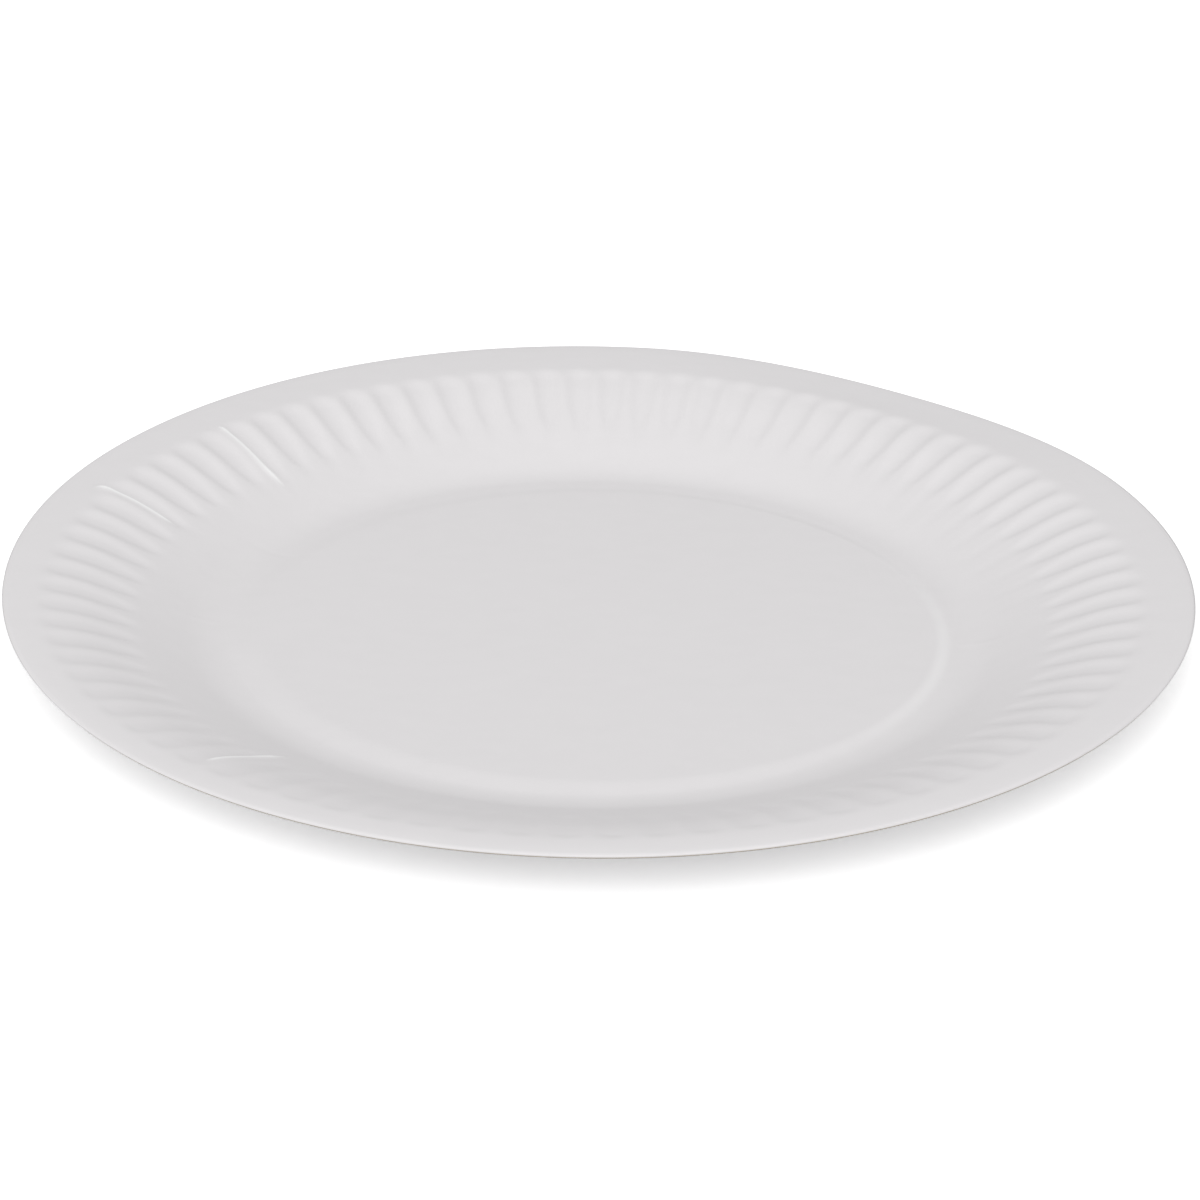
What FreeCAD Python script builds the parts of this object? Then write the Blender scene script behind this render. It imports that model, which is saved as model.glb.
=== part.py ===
"""Paper plate: one round sheet of white board, pressed to a shallow dish with a fluted slope.

All lengths are in millimetres and angles in degrees. +Z is up and +Y points away from the
diner. The plate stands on the ground, with the origin under the middle of its rim. The press
stood a little off the middle of the blank, so the dish and its flutes turn about an axis of
their own, which is the Z axis until the finished plate is moved to its place.

Each side of the board is a skin of its own. A constrained half section gives the line that
both skins follow from the axis to the rim, the underside one board below the upper side.
The panel, its crease and the rim are round or flat. From the resting ring to the rim the
skin is the same sector again and again, one for each ridge between two flutes.
"""
import FreeCAD, Part
import math
import os

import Sketcher

SIZES = [
    ("plate_width", 230.0, "diameter of the plate, across the cut edge"),
    ("rim_height", 13.0, "underside of the rim above the ground"),
    ("board", 0.45, "thickness of the board"),
    ("rim_band", 8.0, "mean width of the plain flat rim outside the shoulder"),
    ("shoulder_radius", 30.0, "round turn from slope to rim, on the upper side"),
    ("slope_angle", 30.0, "straight part of the slope, from the ground"),
    ("root_radius", 17.0, "hollow turn from resting ring to slope, on the upper side"),
    ("rest_ring", 2.0, "flat ring that the plate stands on"),
    ("panel_step", 2.5, "width of the crease round the raised base panel"),
    ("panel_rise", 0.4, "base panel above the resting ring"),
    ("flute_count", 84, "flutes round the slope"),
    ("flute_run", 4.0, "length of the flutes down the straight slope, below the shoulder"),
    ("flute_entry", 0.55, "depth of a flute below the ridges where the shoulder starts"),
    ("flute_depth", 0.8, "depth of a flute half way round the shoulder"),
    ("flute_share", 0.78, "outer width of a flute, as a share of its sector"),
    ("floor_share", 0.42, "outer width of the shallow floor of a flute, as a share"),
    ("floor_drop", 0.72, "depth at the sides of the floor, as a share of the full depth"),
    ("blank_shift_x", 1.3, "how far the blank lay off the press to the right"),
    ("blank_shift_y", 1.5, "how far the blank lay off the press to the far side"),
]

doc = FreeCAD.newDocument("paper_plate")
sheet = doc.addObject("Spreadsheet::Sheet", "Sizes")
for row, (alias, length, note) in enumerate(SIZES, start=1):
    sheet.set(f"A{row}", note)
    sheet.set(f"B{row}", str(length))
    sheet.setAlias(f"B{row}", alias)
doc.recompute()


def size(alias):
    """A driving size, as the sheet holds it."""
    return float(sheet.get(alias))


# The section line, from the rim inwards

slope_angle = math.radians(size("slope_angle"))
crease_angle = math.atan2(size("panel_rise"), size("panel_step"))
both_turns = size("root_radius") + size("shoulder_radius")
slope_run = size("rim_height") - both_turns * (1 - math.cos(slope_angle))
slope_run = slope_run / math.sin(slope_angle)
rim_inner = size("plate_width") / 2 - size("rim_band")
foot_x = rim_inner - both_turns * math.sin(slope_angle) - slope_run * math.cos(slope_angle)


def line(sketch, start, end):
    """A straight edge between two points of the sketch."""
    return sketch.addGeometry(
        Part.LineSegment(FreeCAD.Vector(*start, 0), FreeCAD.Vector(*end, 0)), False
    )


def arc(sketch, centre, radius, start, end):
    """A round edge, anticlockwise from one angle to the other."""
    circle = Part.Circle(FreeCAD.Vector(*centre, 0), FreeCAD.Vector(0, 0, 1), radius)
    return sketch.addGeometry(Part.ArcOfCircle(circle, start, end), False)


def bind(sketch, name, kind, geometry, value, expression):
    """A dimension of the sketch, tied to the sheet."""
    index = sketch.addConstraint(Sketcher.Constraint(kind, *geometry, value))
    sketch.renameConstraint(index, name)
    sketch.setExpression(f"Constraints.{name}", expression)


def section_line(name, under, under_by):
    """The line of one side of the board, from the axis to the inner edge of the rim.

    It lies the length under below the upper side, square to it, so both sides share the
    centres of their two round turns. At the crease the ends of the ring move to the mitre.
    """
    root = size("root_radius") + under
    shoulder = size("shoulder_radius") - under
    ring_z = size("board") - under
    panel_z = ring_z + size("panel_rise")
    rim_z = size("rim_height") + ring_z
    mitre = under * math.tan(crease_angle / 2)
    step_x = foot_x - size("rest_ring") - mitre
    panel_x = step_x - size("panel_step")
    low = (foot_x + root * math.sin(slope_angle), ring_z + root * (1 - math.cos(slope_angle)))
    high = (
        rim_inner - shoulder * math.sin(slope_angle),
        rim_z - shoulder * (1 - math.cos(slope_angle)),
    )
    down, up = -math.pi / 2, math.pi / 2
    sketch = doc.addObject("Sketcher::SketchObject", name)
    sketch.Placement = FreeCAD.Placement(
        FreeCAD.Vector(0, 0, 0), FreeCAD.Rotation(FreeCAD.Vector(1, 0, 0), 90)
    )
    panel = line(sketch, (0, panel_z), (panel_x, panel_z))
    step = line(sketch, (panel_x, panel_z), (step_x, ring_z))
    ring = line(sketch, (step_x, ring_z), (foot_x, ring_z))
    hollow = arc(sketch, (foot_x, ring_z + root), root, down, down + slope_angle)
    slope = line(sketch, low, high)
    turn = arc(sketch, (rim_inner, rim_z - shoulder), shoulder, up, up + slope_angle)
    joined = [
        ("Coincident", panel, 2, step, 1),
        ("Coincident", step, 2, ring, 1),
        ("Tangent", ring, 2, hollow, 1),
        ("Tangent", hollow, 2, slope, 1),
        ("Tangent", slope, 2, turn, 2),
        ("Horizontal", panel),
        ("Horizontal", ring),
        ("PointOnObject", panel, 1, -2),
        ("Vertical", turn, 1, turn, 3),
    ]
    for kind, *geometry in joined:
        sketch.addConstraint(Sketcher.Constraint(kind, *geometry))
    mitre_by = f"{under_by} * tan(atan(Sizes.panel_rise / Sizes.panel_step) / 2)"
    bind(sketch, "ring_height", "DistanceY", (-1, 1, ring, 2), ring_z,
         f"Sizes.board - {under_by}")
    bind(sketch, "rise", "DistanceY", (step, 2, step, 1), size("panel_rise"),
         "Sizes.panel_rise")
    bind(sketch, "step_width", "DistanceX", (step, 1, step, 2), size("panel_step"),
         "Sizes.panel_step")
    bind(sketch, "ring_width", "DistanceX", (ring, 1, ring, 2), size("rest_ring") + mitre,
         f"Sizes.rest_ring + {mitre_by}")
    bind(sketch, "root", "Radius", (hollow,), root, f"Sizes.root_radius + {under_by}")
    bind(sketch, "shoulder", "Radius", (turn,), shoulder,
         f"Sizes.shoulder_radius - {under_by}")
    bind(sketch, "slope", "Angle", (slope,), slope_angle, "Sizes.slope_angle * 1deg")
    bind(sketch, "rim_height", "DistanceY", (-1, 1, turn, 1), rim_z,
         f"Sizes.rim_height + Sizes.board - {under_by}")
    bind(sketch, "rim_inner", "DistanceX", (-1, 1, turn, 1), rim_inner,
         "Sizes.plate_width / 2 - Sizes.rim_band")
    return sketch


upper_line = section_line("upper_line", 0.0, "0")
under_line = section_line("under_line", size("board"), "Sizes.board")

# The cut edge of the blank, which is round about its own middle

blank = doc.addObject("Sketcher::SketchObject", "blank")
edge = blank.addGeometry(
    Part.Circle(
        FreeCAD.Vector(size("blank_shift_x"), size("blank_shift_y"), 0),
        FreeCAD.Vector(0, 0, 1),
        size("plate_width") / 2,
    ),
    False,
)
bind(blank, "width", "Diameter", (edge,), size("plate_width"), "Sizes.plate_width")
bind(blank, "shift_x", "DistanceX", (-1, 1, edge, 3), size("blank_shift_x"),
     "Sizes.blank_shift_x")
bind(blank, "shift_y", "DistanceY", (-1, 1, edge, 3), size("blank_shift_y"),
     "Sizes.blank_shift_y")
blank.setExpression("Placement.Base.z", "Sizes.rim_height")

cut_edge = doc.addObject("Part::Extrusion", "cut_edge")
cut_edge.Base = blank
cut_edge.Dir = FreeCAD.Vector(0, 0, 1)
cut_edge.DirMode = "Custom"
cut_edge.Solid = False
cut_edge.setExpression("LengthFwd", "Sizes.board")
doc.recompute()

# One sector of a skin runs from the middle of one flute to the middle of the next

PITCH = 2 * math.pi / size("flute_count")
UP = FreeCAD.Vector(0, 0, 1)
CENTRE = FreeCAD.Vector(0, 0, 0)
HALF = 0.5
RIDGE_SIDE = HALF - size("flute_share") / 2
FLOOR_SIDE = HALF - size("floor_share") / 2


def turned(point, share):
    """A point of the section, turned about the axis by a share of one sector."""
    angle = share * PITCH
    return FreeCAD.Vector(point.x * math.cos(angle), point.x * math.sin(angle), point.z)


def both_sides(point):
    """A point of the section at the two sides of the sector."""
    return [turned(point, -HALF), turned(point, HALF)]


def folds(point, depth):
    """The corners across a sector, from left to right, where the flutes have that depth."""
    inward = FreeCAD.Vector(math.sin(slope_angle), 0, -math.cos(slope_angle))
    middle = point + inward * depth
    floor = point + inward * depth * size("floor_drop")
    return [
        turned(middle, -HALF),
        turned(floor, -FLOOR_SIDE),
        turned(point, -RIDGE_SIDE),
        turned(point, RIDGE_SIDE),
        turned(floor, FLOOR_SIDE),
        turned(middle, HALF),
    ]


def facet(*corners):
    """A flat face on three or four corners."""
    return Part.Face(Part.makePolygon([*corners, corners[0]]))


def bent(starts, poles, ends):
    """A face with two straight ends and two arcs for sides, each arc with its own pole."""
    surface = Part.BSplineSurface()
    weight = math.cos(slope_angle / 2)
    surface.buildFromPolesMultsKnots(
        [starts, poles, ends], [3, 3], [2, 2], [0.0, 1.0], [0.0, 1.0], False, False, 2, 1,
        [[1.0, 1.0], [weight, weight], [1.0, 1.0]],
    )
    return surface.toShape()


def arc_pole(level_end, slope_end):
    """Where the tangents at the two ends of a round turn meet."""
    reach = 0.5 / math.cos(slope_angle / 2) ** 2
    across = level_end.x + (slope_end.x - level_end.x) * reach
    return FreeCAD.Vector(across, 0, level_end.z)


def sector(foot, low, high, rim):
    """The faces of one sector, from the resting ring up to the rim.

    The flutes begin as a fan of flat facets on the straight slope and run on round the
    shoulder. An arc passes half way between its pole and its ends, so the poles lie deeper
    than the flutes do.
    """
    along = (high - low).normalize()
    flute_foot = high - along * size("flute_run")
    pole_depth = 2 * size("flute_depth") - size("flute_entry") / 2
    left, right = both_sides(flute_foot)
    low_left, low_right = both_sides(low)
    entry = folds(high, size("flute_entry"))
    poles = folds(arc_pole(rim, high), pole_depth)
    ends = folds(rim, 0)
    faces = [
        bent(both_sides(foot), both_sides(arc_pole(foot, low)), [low_left, low_right]),
        facet(low_left, low_right, right, left),
        facet(left, entry[1], entry[0]),
        facet(left, entry[2], entry[1]),
        facet(left, right, entry[3], entry[2]),
        facet(right, entry[4], entry[3]),
        facet(right, entry[5], entry[4]),
    ]
    for k in range(len(entry) - 1):
        faces.append(bent(entry[k:k + 2], poles[k:k + 2], ends[k:k + 2]))
    return faces


def ring_wire(radius, height, middle_x=0.0, middle_y=0.0):
    """A full circle, level, about the axis or about another middle."""
    middle = FreeCAD.Vector(middle_x, middle_y, height)
    return Part.Wire(Part.Circle(middle, UP, radius).toShape())


def skin(section):
    """All faces of one side of the board."""
    panel, step, ring, hollow, slope, turn = [
        [FreeCAD.Vector(p.x, 0, p.y) for p in (edge.StartPoint, edge.EndPoint)]
        for edge in section.Geometry
    ]
    foot, low = hollow
    rim, high = turn
    one_sector = sector(foot, low, high, rim)
    faces = [
        Part.Face(ring_wire(panel[1].x, panel[1].z)),
        Part.LineSegment(*step).toShape().revolve(CENTRE, UP, 360).Faces[0],
    ]
    ring_corners = []
    rim_corners = []
    for place in range(int(size("flute_count"))):
        for face in one_sector:
            faces.append(face.rotated(CENTRE, UP, math.degrees(PITCH) * place))
        ring_corners.append(turned(foot, place - HALF))
        for share in (-HALF, -FLOOR_SIDE, -RIDGE_SIDE, RIDGE_SIDE, FLOOR_SIDE):
            rim_corners.append(turned(rim, place + share))
    ring_outer = Part.makePolygon([*ring_corners, ring_corners[0]])
    rim_hole = Part.makePolygon([*rim_corners, rim_corners[0]])
    rim_edge = ring_wire(
        size("plate_width") / 2, rim.z, size("blank_shift_x"), size("blank_shift_y")
    )
    faces.append(Part.Face([ring_outer, ring_wire(ring[0].x, ring[0].z)]))
    faces.append(Part.Face([rim_edge, rim_hole]))
    return faces


# The two skins and the cut edge, sewn to one closed board

SEAM = 0.001
skins = skin(upper_line) + skin(under_line) + cut_edge.Shape.Faces
closed = Part.makeCompound(skins)
closed.sewShape(SEAM)
board = Part.Solid(closed.Shells[0])
if board.Volume < 0:
    board = Part.Solid(closed.Shells[0].reversed())
board.fix(SEAM / 10, SEAM / 10, SEAM)

plate = doc.addObject("Part::Feature", "plate")
plate.Label = "plate"
plate.Shape = board
plate.Placement = FreeCAD.Placement(
    FreeCAD.Vector(-size("blank_shift_x"), -size("blank_shift_y"), 0), FreeCAD.Rotation()
)
doc.recompute()

for thing in doc.Objects:
    if "Invalid" in thing.State or "Error" in thing.State:
        raise RuntimeError(f"{thing.Name} failed")
if plate.Shape.isNull() or not plate.Shape.isValid():
    raise RuntimeError("the plate is not a sound solid")

os.makedirs("parts", exist_ok=True)
plate.Shape.exportStep("parts/plate.step")
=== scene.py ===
"""A white paper plate, pressed from one sheet of board, on a white table top."""
import math

import bmesh
import bpy
from mathutils import Matrix, Vector


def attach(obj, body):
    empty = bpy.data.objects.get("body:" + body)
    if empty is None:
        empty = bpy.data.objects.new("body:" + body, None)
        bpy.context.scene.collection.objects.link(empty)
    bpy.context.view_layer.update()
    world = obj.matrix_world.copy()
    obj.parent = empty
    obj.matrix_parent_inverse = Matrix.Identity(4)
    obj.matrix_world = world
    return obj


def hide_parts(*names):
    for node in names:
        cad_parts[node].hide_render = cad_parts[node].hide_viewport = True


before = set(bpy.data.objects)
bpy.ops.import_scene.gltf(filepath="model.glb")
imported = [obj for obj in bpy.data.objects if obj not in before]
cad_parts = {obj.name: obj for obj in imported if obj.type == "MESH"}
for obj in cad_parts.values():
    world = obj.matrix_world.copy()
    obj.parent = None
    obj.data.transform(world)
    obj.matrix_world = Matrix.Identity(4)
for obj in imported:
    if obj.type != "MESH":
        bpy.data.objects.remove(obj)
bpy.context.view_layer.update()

# Plate. One round sheet of uncoated white board, pressed hot between two forms. The forms
# press the dish about 2 mm off the middle of the sheet and gather the spare board of the
# slope into 84 round flutes. The board has warped since, so the rim is no longer level.
MM = 0.001
BOARD = 0.45 * MM
BLANK_RADIUS = 115 * MM
DIE_AXIS = Vector((-1.3 * MM, -1.5 * MM, 0))

# The section from the rim inwards: lip, crown, straight slope and root, each tangent to the
# next, down to the ring that the plate stands on. All heights are of the board's upper side.
RIM_HEIGHT = 13.45 * MM
RIM_INNER = 107 * MM
SLOPE_ANGLE = math.radians(26)
CROWN_ANGLE = math.radians(14)
LIP_RADIUS = 16.5 * MM
CROWN_RADIUS = 40 * MM
ROOT_RADIUS = 17 * MM
LIP_START = RIM_INNER - LIP_RADIUS * math.sin(CROWN_ANGLE)
LIP_HEIGHT = RIM_HEIGHT - LIP_RADIUS * (1 - math.cos(CROWN_ANGLE))
CROWN_START = LIP_START - CROWN_RADIUS * (math.sin(SLOPE_ANGLE) - math.sin(CROWN_ANGLE))
CROWN_HEIGHT = LIP_HEIGHT - CROWN_RADIUS * (math.cos(CROWN_ANGLE) - math.cos(SLOPE_ANGLE))
ROOT_HEIGHT = BOARD + ROOT_RADIUS * (1 - math.cos(SLOPE_ANGLE))
ROOT_END = CROWN_START - (CROWN_HEIGHT - ROOT_HEIGHT) / math.tan(SLOPE_ANGLE)
FOOT_RADIUS = ROOT_END - ROOT_RADIUS * math.sin(SLOPE_ANGLE)

# Seen from above the slope isn't of one width: LEAN narrows it on the far side and widens it
# on the near side, and SQUEEZE narrows both by a little.
LEAN = 0.12
SQUEEZE = 0.04

# Inside the ring a soft step lifts the base panel. The step lies a little off the middle and
# is wider on the left and near sides, and the panel stands higher on its near side.
STEP_MIDDLE = 68.2 * MM
STEP_SHIFT = Vector((0.5 * MM, -1.5 * MM, 0))
STEP_WIDTH = 4.7 * MM
STEP_SPREAD = Vector((-2.0 * MM, -1.5 * MM, 0))
PANEL_RISE = 0.45 * MM
PANEL_TILT = 0.3 * MM
TILT_TOWARD = math.radians(185)

# The flutes are round grooves, deepest on the far side. Their inner ends are narrow points
# that deepen over some length, and their outer ends are blunt, close under the rim.
FLUTES = 84
FLUTE_DEPTH = 0.52 * MM
FLUTE_SPREAD = 0.32 * MM
DEEPEST_AT = math.radians(10)
FLUTE_IN = 87.6 * MM
FLUTE_OUT = 107.2 * MM
GROOVE_POWER = 1.4
POINT_WIDTH = 0.62
POINT_LENGTH = 9 * MM
INNER_BOW = 1.2 * MM
OUTER_BOW = 2.0 * MM
SHORT_ENTRY = 3 * MM
SHORT_ENTRY_SHARE = 0.6
LONG_ENTRY = 11 * MM
BLUNT_END = 4 * MM

# Below the flutes on the right the board keeps fine wrinkles, in line with the grooves.
WRINKLE = 0.09 * MM
WRINKLE_IN = 79 * MM
WRINKLE_OUT = 86 * MM
WRINKLE_FADE = 4 * MM
WRINKLE_AT = math.radians(68)
WRINKLE_WIDTH = math.radians(42)

# The gathered board is pinched into sharp folds in places, with weaker creases below them and
# one dent by the near rim: azimuth in degrees, inner radius, outer radius and height of each.
FOLDS = (
    (309.6, 84 * MM, 104.5 * MM, 0.30 * MM),
    (288.4, 88 * MM, 108 * MM, 0.28 * MM),
    (219.6, 84 * MM, 105 * MM, 0.24 * MM),
    (96.4, 68 * MM, 84 * MM, 0.05 * MM),
    (268.2, 70 * MM, 82 * MM, 0.06 * MM),
    (295.7, 65 * MM, 79 * MM, -0.05 * MM),
    (177.7, 103 * MM, 108 * MM, -0.30 * MM),
)
FOLD_WIDTH = 1.1 * MM
FOLD_INNER_FADE = 5 * MM
FOLD_OUTER_FADE = 3 * MM

# Painted highlight: the glints on the folds are painted into the colour as a whiter tint. It
# begins at one height of fold and is full at the other.
# The right part of the panel's step gets a weaker painted highlight too.
HIGHLIGHT_FROM = 0.06 * MM
HIGHLIGHT_FULLY = 0.24 * MM
CREASE_HIGHLIGHT = 0.30
CREASE_REACH = 2 * MM
CREASE_AT = math.radians(98)
CREASE_WIDTH = math.radians(55)

# The warp. The far rim has lifted and the near rim has sunk, with a faint saddle over both.
# The edge droops at the far right, and all round the cut edge is turned down a little.
FAR_LIFT = 1.65 * MM
SADDLE = 0.42 * MM
SADDLE_AT = math.radians(-33)
DROOP = 1.55 * MM
DROOP_FROM = 92 * MM
DROOP_AT = math.radians(37)
DROOP_WIDTH = math.radians(32)
EDGE_CURL = 0.4 * MM
CURL_FROM = 7 / 8
FLOOR_GAP = 0.06 * MM

# Radii of the rows of faces, closer where the board bends and in the flutes.
PANEL_ROWS = [0, 30 * MM, 50 * MM, 60 * MM, 63.5 * MM]
STEP_ROWS = [64.3 * MM + k * 0.5 * MM for k in range(16)]
ROOT_ROWS = [FOOT_RADIUS + k * 1.4 * MM for k in range(1, 8)]
SLOPE_ROWS = [84.5 * MM, 87.2 * MM]
FLUTE_ROWS = [88.2 * MM + k * 0.9 * MM for k in range(21)]
RIM_ROWS = [107.2 * MM, 109 * MM, 111.5 * MM, 113.8 * MM, 114.5 * MM, BLANK_RADIUS]
ROWS = PANEL_ROWS + STEP_ROWS + ROOT_ROWS + SLOPE_ROWS + FLUTE_ROWS + RIM_ROWS
STEPS_PER_FLUTE = 10
COLUMN = 2 * math.pi / (FLUTES * STEPS_PER_FLUTE)
MERGE_GAP = 0.001 * MM


def ease(share):
    """0 below 0, 1 above 1, and a smooth way between."""
    share = min(max(share, 0.0), 1.0)
    return share * share * (3 - 2 * share)


def gap_between(azimuth, middle):
    """Angle between two azimuths, whichever way round is shorter."""
    return abs((azimuth - middle + math.pi) % (2 * math.pi) - math.pi)


def near_to(azimuth, middle, width):
    """1 at the middle azimuth, falling smoothly to 0 at width on either side."""
    return ease(1 - gap_between(azimuth, middle) / width)


def section(radius):
    """Height of the pressed board's upper side and its slope angle, before the flutes."""
    if radius < FOOT_RADIUS:
        return BOARD, 0.0
    if radius < ROOT_END:
        angle = math.asin((radius - FOOT_RADIUS) / ROOT_RADIUS)
        return BOARD + ROOT_RADIUS * (1 - math.cos(angle)), angle
    if radius < CROWN_START:
        return ROOT_HEIGHT + (radius - ROOT_END) * math.tan(SLOPE_ANGLE), SLOPE_ANGLE
    if radius < LIP_START:
        angle = math.asin(math.sin(CROWN_ANGLE) + (LIP_START - radius) / CROWN_RADIUS)
        return LIP_HEIGHT - CROWN_RADIUS * (math.cos(CROWN_ANGLE) - math.cos(angle)), angle
    if radius < RIM_INNER:
        angle = math.asin((RIM_INNER - radius) / LIP_RADIUS)
        return RIM_HEIGHT - LIP_RADIUS * (1 - math.cos(angle)), angle
    return RIM_HEIGHT, 0.0


def flute_depth(radius, azimuth):
    """Depth of the flutes and of the wrinkles below them."""
    across = (azimuth / (2 * math.pi) * FLUTES) % 1 - 0.5
    side = abs(across) * 2
    width = POINT_WIDTH + (1 - POINT_WIDTH) * ease((radius - FLUTE_IN) / POINT_LENGTH)
    groove = 0.5 + 0.5 * math.cos(math.pi * min(side / width, 1) ** GROOVE_POWER)
    start = FLUTE_IN + INNER_BOW * side ** 2
    end = FLUTE_OUT - OUTER_BOW * side ** 2
    entry = SHORT_ENTRY_SHARE * ease((radius - start) / SHORT_ENTRY)
    entry += (1 - SHORT_ENTRY_SHARE) * ease((radius - start) / LONG_ENTRY)
    depth = FLUTE_DEPTH + FLUTE_SPREAD * math.cos(azimuth - DEEPEST_AT)
    depth *= groove * entry * (1 - ease((radius - end + BLUNT_END) / BLUNT_END))
    wrinkle = ease((radius - WRINKLE_IN) / WRINKLE_FADE)
    wrinkle *= 1 - ease((radius - WRINKLE_OUT) / WRINKLE_FADE)
    return depth + WRINKLE * groove * wrinkle * near_to(azimuth, WRINKLE_AT, WRINKLE_WIDTH)


def folded(radius, azimuth):
    """Height that the folds add, each along the column of the mesh that is nearest to it."""
    height = 0
    for at, inner, outer, rise in FOLDS:
        if inner < radius < outer:
            column = round(math.radians(at) / COLUMN) * COLUMN
            across = radius * gap_between(azimuth, column)
            along = ease((radius - inner) / FOLD_INNER_FADE)
            along *= ease((outer - radius) / FOLD_OUTER_FADE)
            height += rise * max(0, 1 - across / FOLD_WIDTH) * along
    return height


bm = bmesh.new()
line = [bm.verts.new((radius, 0, 0)) for radius in ROWS]
edges = [bm.edges.new(pair) for pair in zip(line, line[1:])]
bmesh.ops.spin(
    bm, geom=line + edges, cent=(0, 0, 0), axis=(0, 0, 1), angle=2 * math.pi,
    steps=FLUTES * STEPS_PER_FLUTE, use_merge=True,
)
bmesh.ops.remove_doubles(bm, verts=bm.verts, dist=MERGE_GAP)

# painted highlight: how much whiter the colour is painted at the glints of the folds and
# along the right part of the step
painted_highlight = bm.verts.layers.float.new("painted_highlight")
for vert in bm.verts:
    radius = vert.co.xy.length
    azimuth = math.atan2(vert.co.x, vert.co.y)
    out = vert.co.xy.normalized().to_3d() if radius > 0 else Vector((1, 0, 0))
    far = math.cos(azimuth)
    pressed = FOOT_RADIUS + (radius - FOOT_RADIUS) * (1 + LEAN * far + SQUEEZE * far ** 2)
    height, angle = section(pressed)

    tilt = PANEL_TILT * math.cos(azimuth - TILT_TOWARD) * min(radius / STEP_MIDDLE, 1)
    beyond = radius - STEP_MIDDLE - STEP_SHIFT.dot(out)
    stepped = ease(beyond / (STEP_WIDTH + STEP_SPREAD.dot(out)) + 0.5)
    height += (PANEL_RISE + tilt) * (1 - stepped)

    depth = flute_depth(pressed, azimuth)
    fold = folded(radius, azimuth)
    place = DIE_AXIS + out * (radius + depth * math.sin(angle))
    place.z = height + fold - depth * math.cos(angle)

    # painted highlight along the right part of the step and along the higher folds
    crease_highlight = ease(1 - abs(beyond) / CREASE_REACH) * near_to(azimuth, CREASE_AT, CREASE_WIDTH)
    highlight_by_fold = min(1, (fold - HIGHLIGHT_FROM) / (HIGHLIGHT_FULLY - HIGHLIGHT_FROM))
    vert[painted_highlight] = max(0, highlight_by_fold, CREASE_HIGHLIGHT * crease_highlight)

    if radius > RIM_INNER:
        # the plain rim ends on the blank's own circle
        toward = -DIE_AXIS.dot(out)
        aside = DIE_AXIS.length_squared - toward ** 2
        reach = toward + math.sqrt(BLANK_RADIUS ** 2 - aside)
        share = (radius - RIM_INNER) / (BLANK_RADIUS - RIM_INNER)
        curl = max(0, (share - CURL_FROM) / (1 - CURL_FROM))
        place = DIE_AXIS + out * (RIM_INNER + (reach - RIM_INNER) * share)
        place.z = height - EDGE_CURL * curl ** 2

    raised = ease((radius - FOOT_RADIUS) / (BLANK_RADIUS - FOOT_RADIUS))
    place.z += raised * FAR_LIFT * math.cos(azimuth)
    place.z += raised * SADDLE * math.cos(2 * (azimuth - SADDLE_AT))
    drooping = ease((radius - DROOP_FROM) / (BLANK_RADIUS - DROOP_FROM))
    place.z -= drooping * DROOP * near_to(azimuth, DROOP_AT, DROOP_WIDTH)
    place.z += FLOOR_GAP
    vert.co = place

# this is the upper side, and the board's thickness goes down from it
bmesh.ops.recalc_face_normals(bm, faces=bm.faces)
if sum(face.normal.z for face in bm.faces) < 0:
    bmesh.ops.reverse_faces(bm, faces=bm.faces)
for face in bm.faces:
    face.smooth = True
mesh = bpy.data.meshes.new("plate_board")
bm.to_mesh(mesh)
bm.free()
plate = bpy.data.objects.new("pressed_plate", mesh)
bpy.context.scene.collection.objects.link(plate)
solid = plate.modifiers.new("board", "SOLIDIFY")
solid.thickness = BOARD
solid.offset = -1
solid.use_even_offset = True
solid.material_offset_rim = 1

BOARD_WHITE = (0.687, 0.673, 0.680, 1)
CUT_BOARD = (0.50, 0.46, 0.40, 1)
# the whiter colour that the painted highlights on the folds and the step are mixed towards
HIGHLIGHT_WHITE = (0.86, 0.86, 0.86, 1)
CLOUD = 0.015


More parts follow.
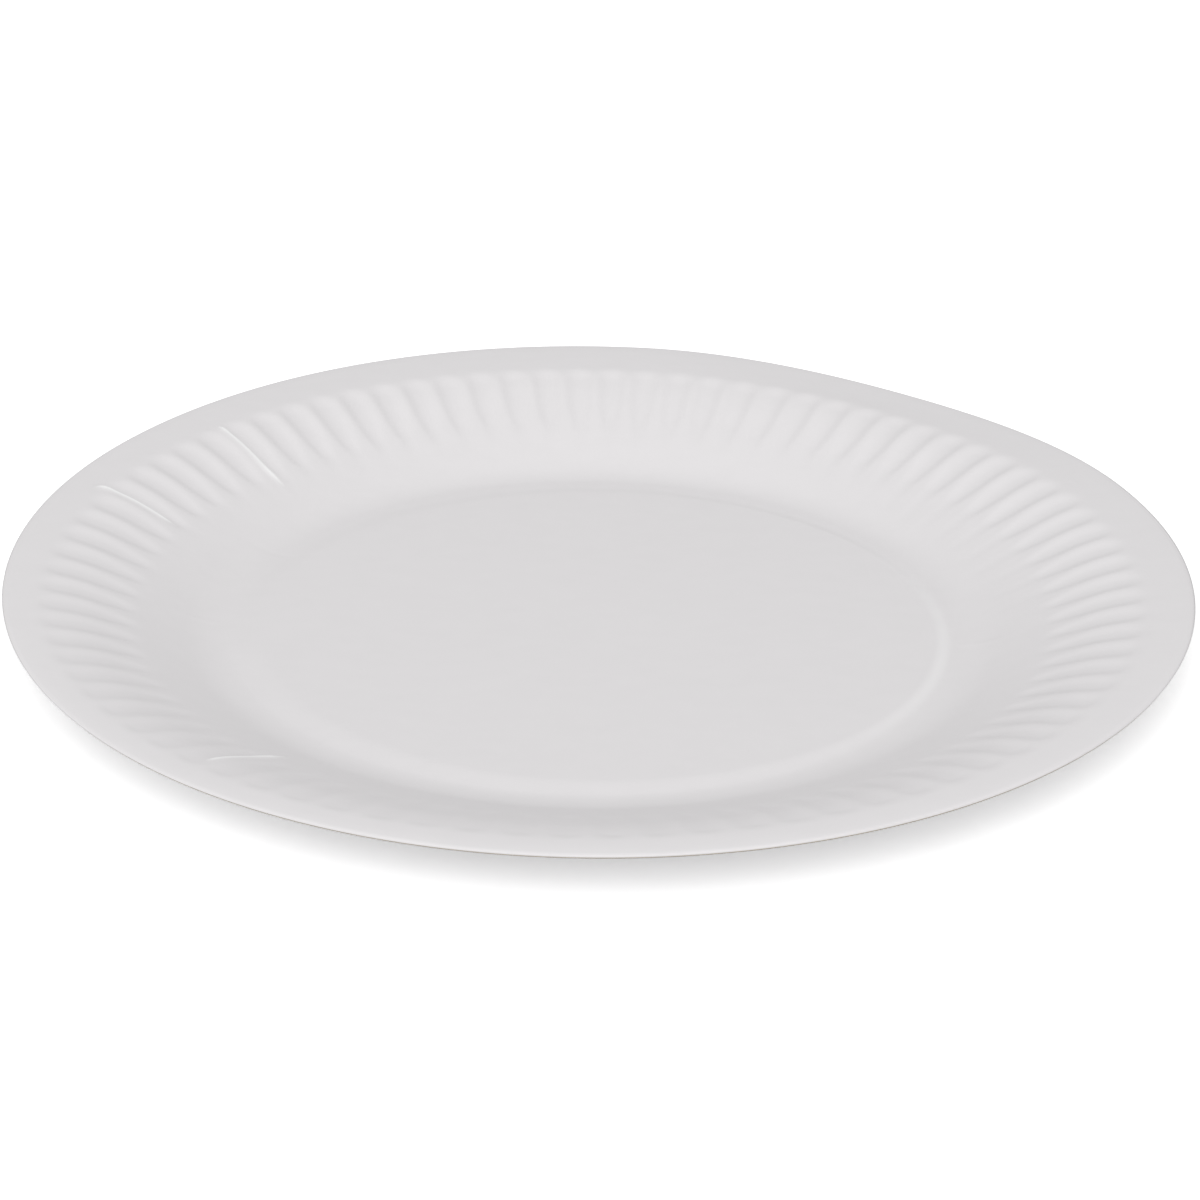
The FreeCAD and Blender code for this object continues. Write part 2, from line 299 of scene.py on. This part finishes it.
def board_material(name, colour):
    """Uncoated pressed board: matt, with the faint cloud and grain of its fibres."""
    material = bpy.data.materials.new(name)
    material.use_nodes = True
    nodes, links = material.node_tree.nodes, material.node_tree.links
    shader = nodes["Principled BSDF"]
    shader.inputs["Roughness"].default_value = 0.75
    shader.inputs["Specular IOR Level"].default_value = 0.1
    place = nodes.new("ShaderNodeTexCoord")
    stretch = nodes.new("ShaderNodeMapping")
    stretch.inputs["Scale"].default_value = (0.6, 1, 1)
    links.new(place.outputs["Object"], stretch.inputs["Vector"])
    cloud = nodes.new("ShaderNodeTexNoise")
    cloud.inputs["Scale"].default_value = 260
    cloud.inputs["Detail"].default_value = 4
    links.new(stretch.outputs["Vector"], cloud.inputs["Vector"])
    tint = nodes.new("ShaderNodeMix")
    tint.data_type = "RGBA"
    tint.inputs["A"].default_value = [c * (1 - CLOUD) for c in colour[:3]] + [1]
    tint.inputs["B"].default_value = [c * (1 + CLOUD) for c in colour[:3]] + [1]
    links.new(cloud.outputs["Fac"], tint.inputs["Factor"])
    # painted highlight: the base colour is mixed towards a whiter one where the mesh
    # attribute marks the fold glints and the step's crease
    highlight_attribute = nodes.new("ShaderNodeAttribute")
    highlight_attribute.attribute_name = "painted_highlight"
    highlighted = nodes.new("ShaderNodeMix")
    highlighted.data_type = "RGBA"
    highlighted.inputs["B"].default_value = HIGHLIGHT_WHITE
    links.new(highlight_attribute.outputs["Fac"], highlighted.inputs["Factor"])
    links.new(tint.outputs["Result"], highlighted.inputs["A"])
    links.new(highlighted.outputs["Result"], shader.inputs["Base Color"])
    fibre = nodes.new("ShaderNodeTexNoise")
    fibre.inputs["Scale"].default_value = 1400
    fibre.inputs["Detail"].default_value = 3
    links.new(stretch.outputs["Vector"], fibre.inputs["Vector"])
    bump = nodes.new("ShaderNodeBump")
    bump.inputs["Strength"].default_value = 0.15
    bump.inputs["Distance"].default_value = 0.1 * MM
    links.new(fibre.outputs["Fac"], bump.inputs["Height"])
    links.new(bump.outputs["Normal"], shader.inputs["Normal"])
    return material


plate.data.materials.append(board_material("white_board", BOARD_WHITE))
plate.data.materials.append(board_material("cut_board", CUT_BOARD))
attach(plate, "root")
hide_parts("plate")

# Table top. A wide white sheet under the plate, with nothing else near. It takes the plate's
# soft shadow, and to the camera alone it is whiter and gives off some light of its own.
TABLE_REACH = 3
TABLE_WHITE = (0.75, 0.75, 0.75, 1)
SEEN_WHITE = (1, 1, 1, 1)
SEEN_GLOW = 0.32
bm = bmesh.new()
bmesh.ops.create_grid(bm, x_segments=1, y_segments=1, size=TABLE_REACH)
mesh = bpy.data.meshes.new("table_top")
bm.to_mesh(mesh)
bm.free()
table_top = bpy.data.objects.new("table_top", mesh)
bpy.context.scene.collection.objects.link(table_top)
paper = bpy.data.materials.new("white_table")
paper.use_nodes = True
nodes, links = paper.node_tree.nodes, paper.node_tree.links
shader = nodes["Principled BSDF"]
shader.inputs["Roughness"].default_value = 0.9
shader.inputs["Specular IOR Level"].default_value = 0
shader.inputs["Emission Color"].default_value = SEEN_WHITE
seen = nodes.new("ShaderNodeLightPath")
white = nodes.new("ShaderNodeMix")
white.data_type = "RGBA"
white.inputs["A"].default_value = TABLE_WHITE
white.inputs["B"].default_value = SEEN_WHITE
links.new(seen.outputs["Is Camera Ray"], white.inputs["Factor"])
links.new(white.outputs["Result"], shader.inputs["Base Color"])
glow = nodes.new("ShaderNodeMath")
glow.operation = "MULTIPLY"
glow.inputs[1].default_value = SEEN_GLOW
links.new(seen.outputs["Is Camera Ray"], glow.inputs[0])
links.new(glow.outputs["Value"], shader.inputs["Emission Strength"])
# from below the table top is clear, so the underside of the plate can be seen
side = nodes.new("ShaderNodeNewGeometry")
clear = nodes.new("ShaderNodeBsdfTransparent")
both = nodes.new("ShaderNodeMixShader")
links.new(side.outputs["Backfacing"], both.inputs["Fac"])
links.new(shader.outputs["BSDF"], both.inputs[1])
links.new(clear.outputs["BSDF"], both.inputs[2])
links.new(both.outputs["Shader"], nodes["Material Output"].inputs["Surface"])
table_top.data.materials.append(paper)

# Light. An even white room, and one large soft lamp before the plate, above the camera and a
# little left of it. LAMP_LIGHT is how much it brightens a white face that is square to it.
ROOM_LIGHT = 0.765
LAMP_LIGHT = 0.47
LAMP_AZIMUTH = math.radians(187)
LAMP_ELEVATION = math.radians(37)
LAMP_DISTANCE = 2.4
LAMP_WIDTH = 1.4
world = bpy.data.worlds.new("room")
bpy.context.scene.world = world
world.use_nodes = True
nodes, links = world.node_tree.nodes, world.node_tree.links
room = nodes["Background"]
room.inputs["Color"].default_value = (1, 1, 1, 1)
path = nodes.new("ShaderNodeLightPath")
strength = nodes.new("ShaderNodeMix")
strength.inputs["A"].default_value = ROOM_LIGHT
strength.inputs["B"].default_value = 1.0
links.new(path.outputs["Is Camera Ray"], strength.inputs["Factor"])
links.new(strength.outputs["Result"], room.inputs["Strength"])
lamp = bpy.data.lights.new("front_lamp", "AREA")
lamp.shape = "DISK"
lamp.size = LAMP_WIDTH
lamp.energy = LAMP_LIGHT * (math.pi * LAMP_DISTANCE) ** 2
lamp_object = bpy.data.objects.new("front_lamp", lamp)
lamp_object.location = LAMP_DISTANCE * Vector((
    math.cos(LAMP_ELEVATION) * math.sin(LAMP_AZIMUTH),
    math.cos(LAMP_ELEVATION) * math.cos(LAMP_AZIMUTH),
    math.sin(LAMP_ELEVATION),
))
lamp_object.rotation_euler = lamp_object.location.to_track_quat("Z", "Y").to_euler()
bpy.context.scene.collection.objects.link(lamp_object)

# Camera. It stands where the photograph was taken from, about 25 degrees above the table and
# 0.64 m from the plate. The shifts are in pixels of the photograph.
ELEVATION = math.radians(25.2)
DISTANCE = 0.641
ROLL = math.radians(0.7)
AIM = Vector((0, 0, BOARD))
PHOTO_WIDTH = 1200
camera = bpy.data.cameras.new("camera")
camera.sensor_width = 36
camera.lens = 97.65
camera.shift_x = 1.5 / PHOTO_WIDTH
camera.shift_y = 20.0 / PHOTO_WIDTH
camera.clip_start = 0.01
camera.clip_end = 20
camera_object = bpy.data.objects.new("camera", camera)
back = Vector((0, -math.cos(ELEVATION), math.sin(ELEVATION)))
turn = Matrix.Rotation(math.pi / 2 - ELEVATION, 4, "X") @ Matrix.Rotation(ROLL, 4, "Z")
camera_object.matrix_world = Matrix.Translation(AIM + back * DISTANCE) @ turn
bpy.context.scene.collection.objects.link(camera_object)
bpy.context.scene.camera = camera_object
bpy.context.scene.view_settings.view_transform = "Standard"
